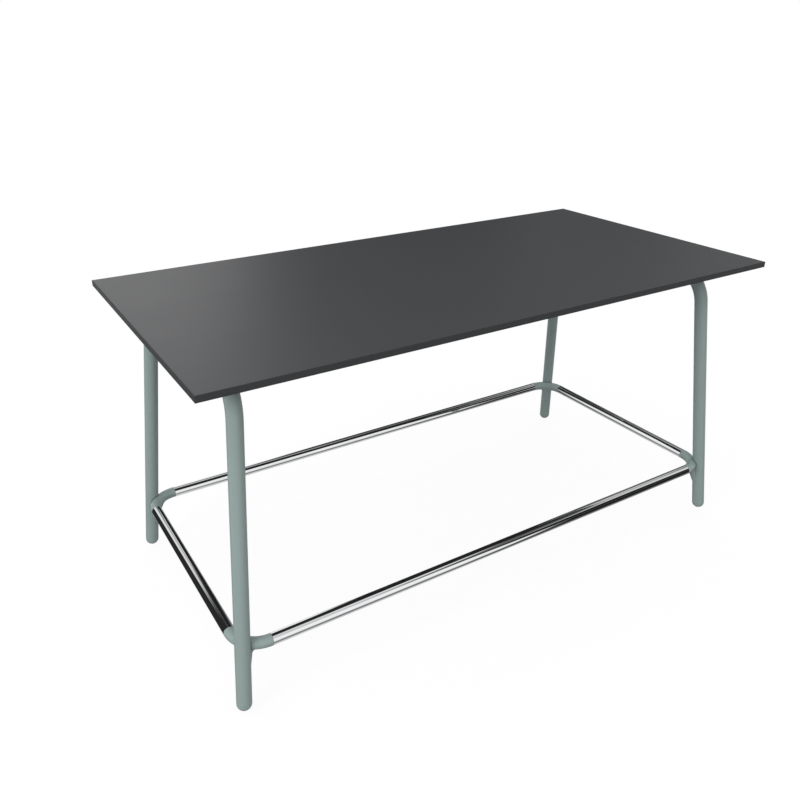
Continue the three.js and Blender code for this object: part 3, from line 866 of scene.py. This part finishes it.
def bend_path():
    """The middle line of the back right bend, from the back rail's end to the right rail's."""
    shoulder_x = Vector((RAIL_HALF_X + FIT_GAP, RING_Y, RING_Z))
    shoulder_y = Vector((RING_X, RAIL_HALF_Y + FIT_GAP, RING_Z))
    corner = Vector((RING_X, RING_Y, RING_Z))
    return rounded_path([shoulder_x, corner, shoulder_y], RING_BEND_RADIUS, BEND_STEPS)


def ring_corner():
    """A painted bend with a spigot at each end, let into the leg with a thin seam round it."""
    spigot = RING_RADIUS - RING_WALL - FIT_GAP
    path = bend_path()
    (first, start), (last, end) = path[0], path[-1]
    tips = [(first - start * SPIGOT_LENGTH, start), (last + end * SPIGOT_LENGTH, end)]
    inside = chamfered([tips[0], path[0], path[-1], tips[1]], spigot, RING_EDGE)
    stations = inside[:3] + chamfered(path, RING_RADIUS, RING_EDGE) + inside[3:]
    tube = sweep(stations, Z_AXIS, spigot - SPIGOT_WALL, TUBE_SIDES)
    return combine("DIFFERENCE", tube, corner_rod(RING_SEAM))


def bracket_level(height, reach, flare):
    """One level of the bracket: a circle that reaches past the leg's face, drawn out along the bend."""
    inward = Vector((-1, -1, 0)).normalized()
    aside = Z_AXIS.cross(inward)
    axis = CORNER_LEG + CORNER_UP * (height / CORNER_UP.z)
    centre = axis + inward * (LEG_RADIUS + reach - BRACKET_RADIUS)
    level = []
    for turn in span(0, 2 * math.pi, TUBE_SIDES)[:-1]:
        drawn = flare * math.sin(turn) ** BRACKET_FLARE_POWER
        out = BRACKET_RADIUS * math.cos(turn) + BRACKET_FOLLOW * drawn
        side = BRACKET_RADIUS * math.sin(turn) + math.copysign(drawn, math.sin(turn))
        level.append(centre + inward * out + aside * side)
    return level


def ring_bracket():
    """A round stub that slants out of the leg to a filleted seat under the bend."""
    toe = -(BRACKET_REACH - TOUCH) / BRACKET_SLANT
    steps = [(height, 0) for height in span(toe, -BRACKET_FILLET, BRACKET_STEPS)[:-1]]
    for angle in span(0, math.pi / 2, BRACKET_FILLET_STEPS):
        below = BRACKET_FILLET * (1 - math.sin(angle))
        flare = BRACKET_FILLET * (1 - math.cos(angle))
        steps.append((-below, flare))
    levels = [
        bracket_level(height - RING_RADIUS, BRACKET_REACH + BRACKET_SLANT * height, flare)
        for height, flare in steps
    ]
    # The last level lies inside the bend, which is then cut out
    levels.append(bracket_level(-RING_RADIUS / 2, BRACKET_REACH, BRACKET_FILLET))
    bend = [(point, tangent, RING_RADIUS + TOUCH) for point, tangent in bend_path()]
    solid_bend = sweep(bend, Z_AXIS, MERGE, TUBE_SIDES)
    stub = combine("DIFFERENCE", skin(levels, "caps"), corner_rod(TOUCH), solid_bend)
    # Points that only divide an edge are left from the cuts
    spare = [vert for vert in stub.verts if len(vert.link_edges) == 2]
    bmesh.ops.dissolve_verts(stub, verts=spare)
    return stub


def ring_rail(node):
    """A chrome tube with its cut ends broken."""
    low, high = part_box(node)
    size = high - low
    half = max(size) / 2
    bore = RING_RADIUS - RING_WALL
    end = half - RING_EDGE
    outer = arc((RING_RADIUS - RING_EDGE, end), RING_EDGE, 0, 90, EDGE_STEPS)
    inner = arc((bore + RING_EDGE, end), RING_EDGE, 90, 180, EDGE_STEPS)
    profile = outer + inner
    profile += [(radius, -height) for radius, height in reversed(profile)]
    axis = X_AXIS if size.x > size.y else Y_AXIS
    return moved(revolve(profile, RAIL_SIDES, "loop"), along_axis(middle(node), axis))


def add_ring():
    bend = ring_corner()
    bracket = ring_bracket()
    for corner in CORNERS:
        make(f"ring_corner_{corner}", mirrored(bend, corner))
        make(f"ring_bracket_{corner}", mirrored(bracket, corner))
    for side in SIDES:
        make(f"ring_rail_{side}", ring_rail(f"ring_rail_{side}"))


# Studio: a pale floor, a white surround, a dome that only metal and gloss mirror, and one soft lamp

FLOOR_HALF = 40.0
# As low as the feet reach when they are screwed out, so that no pose sinks into the floor
FLOOR_LEVEL = min(joint["axis"][2] * joint["range_m"][1] for joint in frame["joints"])
FLOOR_COLOR = (0.95, 0.95, 0.95)
FLOOR_BOUNCE = (0.32, 0.32, 0.32)  # how much light the floor sends up to the table
FLOOR_GLOW_NEAR = 0.90  # share of plain white near the table, where the shadow stays
FLOOR_GLOW_FAR = 1.0
FLOOR_FADE = (1.2, 3.2)  # from the middle, where the floor turns plain white
AMBIENT = 1.06
# The dome that metal and gloss mirror: elevations and greys, white round the horizon
DOME_RADIUS = 34.0
DOME_STEP_DEG = 1.5
DOME_GREYS = (
    (-90, 0.70), (-66, 0.68), (-58, 0.66), (-50, 0.46), (-40, 0.21), (-33, 0.25),
    (-25, 0.36), (-21, 0.42), (-16, 0.76), (-10, 1.0), (26, 1.0), (34, 0.80),
    (42, 0.70), (48, 0.58), (54, 0.55), (63, 0.95), (74, 0.38), (90, 0.30),
)
# Soft-edged cards on it: azimuth (0 is towards +Y, 90 towards +X), lowest and highest elevation at the
# two ends, and grey
CARD_SOFT_DEG = 2.4
CARDS = {
    "left": ((-97, -10, 40), (-84, -10, 40), 0.20),
    "left_floor": ((-60, -41, -19), (-40, -41, -19), 0.22),
    "back_left": ((-48, -35, 46), (-26.5, -35, 46), 0.024),
    "back_left_foot": ((-48, -36.5, -14), (-14, -41, -20), 0.024),
    "back_right": ((19, -14, 46), (43, -14, 44), 0.014),
    "right": ((43, -14, 46), (55, -8, 44), 0.09),
    "far_right": ((55, -8, 28), (74, -8, 28), 0.24),
    "far_right_top": ((55, 28, 44), (74, 28, 42), 0.50),
    "back_top": ((-48, 28.5, 54.5), (-6, 41.8, 54.5), 0.024),
    "back_right_top": ((-6, 42.3, 54.5), (31, 31.5, 54.5), 0.024),
    "right_top": ((31, 46, 66), (96, 51.5, 64), 0.12),
    "front_top": ((90, 52, 61), (148, 37, 49), 0.11),
    "front_floor": ((105, -55, -27), (160, -55, -27), 0.20),
    "front_right": ((123.5, 8, 38), (147, 8, 40), 0.014),
    "front_right_low": ((123.5, -31, 8), (144.7, -31, 8), 0.014),
    "front_right_foot": ((108, -47, -31), (144, -47, -31), 0.10),
    "front_left": ((-118, -30, 40), (-97, -30, 40), 0.020),
}
LAMP_PLACE = (-5.7, -2.1, 3.6)
LAMP_SIZE = 3.4
LAMP_WATTS = 150
LAMP_AIM = (0, 0, 0.45)


def white_mask(tree):
    """1 for rays from the camera and those that metal and glass send on, 0 for all others."""
    path = tree.nodes.new("ShaderNodeLightPath")
    total = path.outputs["Is Camera Ray"]
    for name in ("Is Glossy Ray", "Is Transmission Ray"):
        larger = tree.nodes.new("ShaderNodeMath")
        larger.operation = "MAXIMUM"
        tree.links.new(total, larger.inputs[0])
        tree.links.new(path.outputs[name], larger.inputs[1])
        total = larger.outputs[0]
    return total


def mixed(tree, share, first, second):
    mix = tree.nodes.new("ShaderNodeMixShader")
    tree.links.new(share, mix.inputs["Fac"])
    tree.links.new(first.outputs[0], mix.inputs[1])
    tree.links.new(second.outputs[0], mix.inputs[2])
    return mix


def add_world():
    world = bpy.data.worlds.new("surround")
    world.use_nodes = True
    bpy.context.scene.world = world
    tree = world.node_tree
    ambient = tree.nodes["Background"]
    ambient.inputs["Color"].default_value = (1, 1, 1, 1)
    ambient.inputs["Strength"].default_value = AMBIENT
    white = tree.nodes.new("ShaderNodeBackground")
    white.inputs["Color"].default_value = (1, 1, 1, 1)
    surface = mixed(tree, white_mask(tree), ambient, white)
    tree.links.new(surface.outputs[0], tree.nodes["World Output"].inputs["Surface"])


def floor_material():
    """Pale from above. From below it lets the table's underside show."""
    material = bpy.data.materials.new("pale_floor")
    material.use_nodes = True
    tree = material.node_tree
    tree.nodes.remove(tree.nodes["Principled BSDF"])
    plain = tree.nodes.new("ShaderNodeBsdfDiffuse")
    plain.inputs["Color"].default_value = (*FLOOR_COLOR, 1)
    bounce = tree.nodes.new("ShaderNodeBsdfDiffuse")
    bounce.inputs["Color"].default_value = (*FLOOR_BOUNCE, 1)
    glow = tree.nodes.new("ShaderNodeEmission")
    place = tree.nodes.new("ShaderNodeTexCoord")
    distance = tree.nodes.new("ShaderNodeVectorMath")
    distance.operation = "LENGTH"
    tree.links.new(place.outputs["Object"], distance.inputs[0])
    share = tree.nodes.new("ShaderNodeMapRange")
    share.interpolation_type = "SMOOTHSTEP"
    share.inputs["From Min"].default_value = FLOOR_FADE[0]
    share.inputs["From Max"].default_value = FLOOR_FADE[1]
    share.inputs["To Min"].default_value = FLOOR_GLOW_NEAR
    share.inputs["To Max"].default_value = FLOOR_GLOW_FAR
    tree.links.new(distance.outputs["Value"], share.inputs["Value"])
    shown = mixed(tree, share.outputs["Result"], plain, glow)
    upper = mixed(tree, white_mask(tree), bounce, shown)
    under = tree.nodes.new("ShaderNodeNewGeometry").outputs["Backfacing"]
    surface = mixed(tree, under, upper, tree.nodes.new("ShaderNodeBsdfTransparent"))
    tree.links.new(surface.outputs[0], tree.nodes["Material Output"].inputs["Surface"])
    return material


def stage_object(name, points, faces, material):
    data = bpy.data.meshes.new(name)
    data.from_pydata(points, [], faces)
    data.materials.append(material)
    item = bpy.data.objects.new(name, data)
    bpy.context.scene.collection.objects.link(item)
    return item


def add_floor():
    ends = (-FLOOR_HALF, FLOOR_HALF)
    corners = [(x, y, FLOOR_LEVEL) for y in ends for x in ends]
    floor = stage_object("floor", corners, [(0, 1, 3, 2)], floor_material())
    floor.visible_glossy = False


def dome_grey(turn, rise):
    """The dome's grey in one direction: its own, covered by the cards."""
    for (low, low_grey), (high, high_grey) in zip(DOME_GREYS, DOME_GREYS[1:]):
        if low <= rise <= high:
            grey = low_grey + (high_grey - low_grey) * (rise - low) / (high - low)
    for (start, start_low, start_high), (end, end_low, end_high), tone in CARDS.values():
        share = min(1, max(0, (turn - start) / (end - start)))
        low = start_low + (end_low - start_low) * share
        high = start_high + (end_high - start_high) * share
        inside = min(turn - start, end - turn, rise - low, high - rise)
        cover = min(1, max(0, 0.5 + inside / CARD_SOFT_DEG))
        grey += (tone - grey) * cover
    return grey


def dome_material():
    material = bpy.data.materials.new("studio_dome")
    material.use_nodes = True
    tree = material.node_tree
    tree.nodes.remove(tree.nodes["Principled BSDF"])
    grey = tree.nodes.new("ShaderNodeAttribute")
    grey.attribute_name = "grey"
    glow = tree.nodes.new("ShaderNodeEmission")
    tree.links.new(grey.outputs["Color"], glow.inputs["Color"])
    tree.links.new(glow.outputs[0], tree.nodes["Material Output"].inputs["Surface"])
    return material


def add_dome():
    """A far ball round the table that only mirrored rays see."""
    turns = span(-180, 180, round(360 / DOME_STEP_DEG))
    rises = span(-90, 90, round(180 / DOME_STEP_DEG))
    points, colors = [], []
    for rise in rises:
        flat = DOME_RADIUS * math.cos(math.radians(rise))
        height = DOME_RADIUS * math.sin(math.radians(rise))
        for turn in turns:
            angle = math.radians(turn)
            points.append((flat * math.sin(angle), flat * math.cos(angle), height))
            colors += [dome_grey(turn, rise)] * 3 + [1]
    wide = len(turns)
    starts = [wide * row + k for row in range(len(rises) - 1) for k in range(wide - 1)]
    faces = [(start, start + 1, start + wide + 1, start + wide) for start in starts]
    dome = stage_object("studio_dome", points, faces, dome_material())
    dome.data.color_attributes.new("grey", "FLOAT_COLOR", "POINT").data.foreach_set("color", colors)
    dome.visible_camera = False
    dome.visible_diffuse = False
    dome.visible_shadow = False


def add_lamp():
    data = bpy.data.lights.new("soft_lamp", "AREA")
    data.shape = "DISK"
    data.size = LAMP_SIZE
    data.energy = LAMP_WATTS
    lamp = bpy.data.objects.new("soft_lamp", data)
    lamp.location = LAMP_PLACE
    aim = Vector(LAMP_AIM) - Vector(LAMP_PLACE)
    lamp.rotation_euler = aim.to_track_quat("-Z", "Y").to_euler()
    lamp.visible_glossy = False
    bpy.context.scene.collection.objects.link(lamp)


add_camera()
add_top()
add_leg_frames()
add_stiffeners()
add_screws()
add_feet()
add_ring()
add_world()
add_floor()
add_dome()
add_lamp()
bpy.context.scene.view_settings.view_transform = "Standard"
